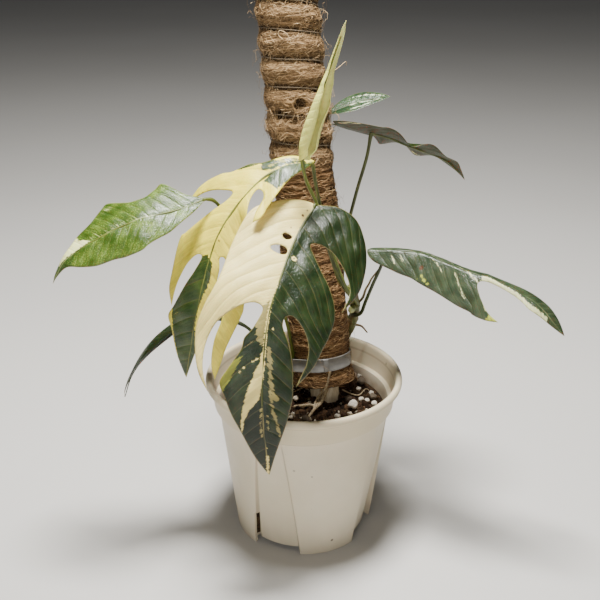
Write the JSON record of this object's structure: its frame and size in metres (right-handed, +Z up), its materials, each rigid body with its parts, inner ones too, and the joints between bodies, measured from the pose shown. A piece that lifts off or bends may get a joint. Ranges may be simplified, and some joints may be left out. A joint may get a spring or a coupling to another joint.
{
  "type": "potted variegated epipremnum pinnatum",
  "caption": "Climbing aroid with cut, half-cream leaves, tied to a leaning coir pole in a white nursery pot of potting mix.",
  "frame": {"origin": "centre of the pot's foot on the surface it stands on, which is also the middle of the whole plant's width and depth", "axes": "+Z up, +X to the right and +Y away from a viewer who faces the long cut front leaf"},
  "size_m": [0.478, 0.2672, 0.5543],
  "materials": {
    "pot_plastic": "off-white, faintly glossy moulded plastic with fine scuffs",
    "potting_mix": "damp dark peat and bark with white perlite and pale roots",
    "stake": "pale bare stake",
    "coir": "loose brown coconut fibre",
    "twine": "thin grey-brown twine",
    "strap_plastic": "milky translucent plastic strap",
    "stem": "green-brown ringed vine with pale roots",
    "leaf_front_half_moon": "waxy leaf, one half cream and one half dark blue-green",
    "leaf_yellow_cut": "waxy pale yellow leaf with green patches",
    "leaf_left_speckled": "glossy mid-green leaf speckled with lime and white",
    "leaf_right_cleft": "waxy dark green leaf with cream splashes",
    "leaf_back_wavy": "waxy green leaf with cream flecks and a wavy margin",
    "leaf_back_small": "waxy leaf, green and white",
    "leaf_new_rolled": "soft new leaf, pale yellow-green, still rolled",
    "leaf_low_narrow": "waxy dark green leaf"
  },
  "bodies": {
    "root": {"pot": "pot_plastic", "potting_mix": "potting_mix", "pole_core": "stake", "pole_coir": "coir", "pole_twine": "twine", "pole_strap": "strap_plastic", "stem": "stem", "leaf_front_half_moon": "leaf_front_half_moon", "leaf_yellow_cut": "leaf_yellow_cut", "leaf_left_speckled": "leaf_left_speckled", "leaf_right_cleft": "leaf_right_cleft", "leaf_back_wavy": "leaf_back_wavy", "leaf_back_small": "leaf_back_small", "leaf_new_rolled": "leaf_new_rolled", "leaf_low_narrow": "leaf_low_narrow"}
  },
  "joints": []
}
